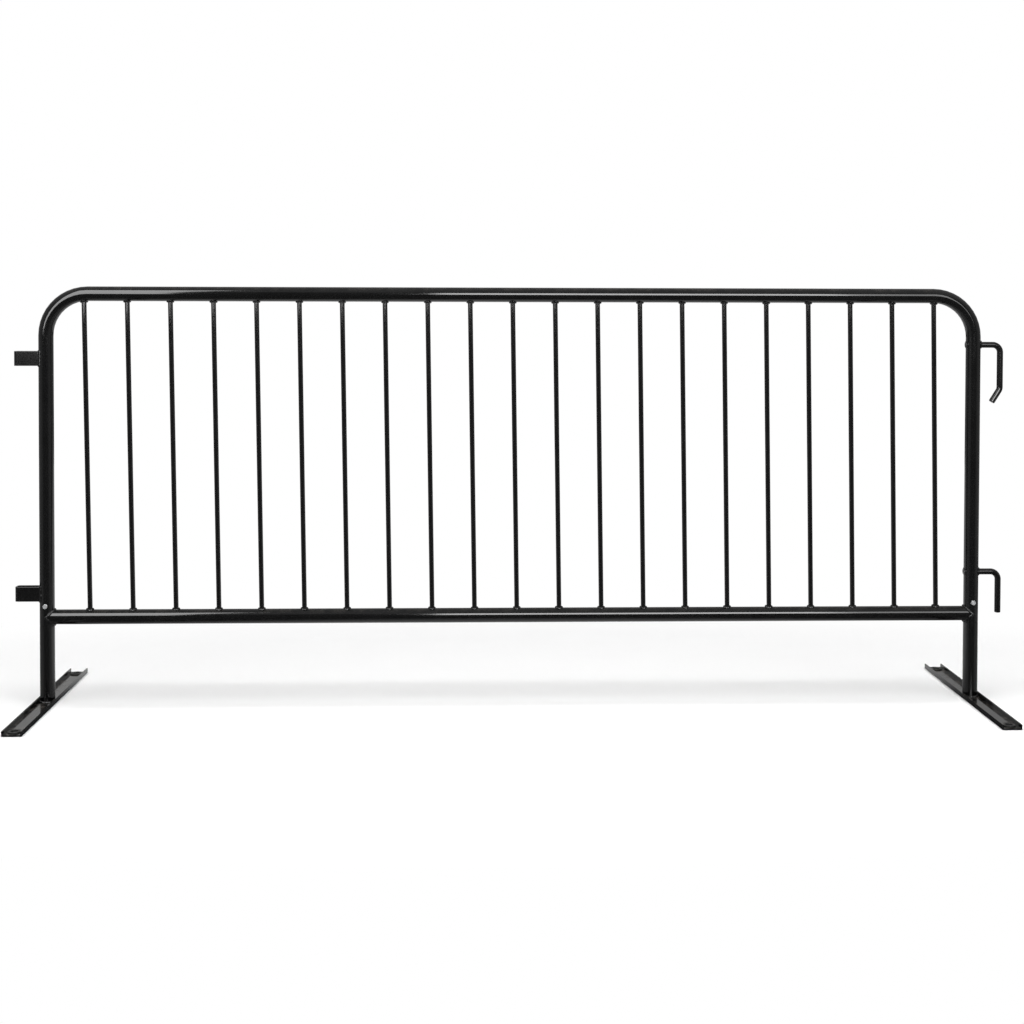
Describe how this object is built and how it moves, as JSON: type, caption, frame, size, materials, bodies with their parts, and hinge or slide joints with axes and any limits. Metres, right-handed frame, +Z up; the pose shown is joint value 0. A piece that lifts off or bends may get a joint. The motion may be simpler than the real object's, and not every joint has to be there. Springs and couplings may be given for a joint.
{
  "type": "crowd control barrier",
  "caption": "Free-standing interlocking steel barrier: a bent tube frame filled with upright bars, link hooks at one end, strap loops at the other, on two bolted channel feet.",
  "frame": {"origin": "on the floor, midway between the two posts", "axes": "+X along the barrier towards the hooks, +Z up, the foot bolts' heads face -Y"},
  "size_m": [2.5908, 0.6096, 1.0861],
  "materials": {
    "black_coat": "semi-gloss black powder coat over welded steel",
    "bare_steel": "plain mill-finish steel tube, hidden inside the post",
    "zinc": "bright zinc plate",
    "pad_rubber": "moulded black rubber, matte"
  },
  "bodies": {
    "root": {"frame_tube": "black_coat", "bottom_rail": "black_coat", "bar_01": "black_coat", "bar_02": "black_coat", "bar_03": "black_coat", "bar_04": "black_coat", "bar_05": "black_coat", "bar_06": "black_coat", "bar_07": "black_coat", "bar_08": "black_coat", "bar_09": "black_coat", "bar_10": "black_coat", "bar_11": "black_coat", "bar_12": "black_coat", "bar_13": "black_coat", "bar_14": "black_coat", "bar_15": "black_coat", "bar_16": "black_coat", "bar_17": "black_coat", "bar_18": "black_coat", "bar_19": "black_coat", "bar_20": "black_coat", "bar_21": "black_coat", "hook_upper": "black_coat", "hook_lower": "black_coat", "loop_upper": "black_coat", "loop_lower": "black_coat", "foot_channel_left": "black_coat", "foot_channel_right": "black_coat", "foot_leg_left": "black_coat", "foot_leg_right": "black_coat", "foot_spigot_left": "bare_steel", "foot_spigot_right": "bare_steel", "foot_bolts": "zinc", "foot_nuts": "zinc", "foot_pads": "pad_rubber"}
  },
  "joints": []
}
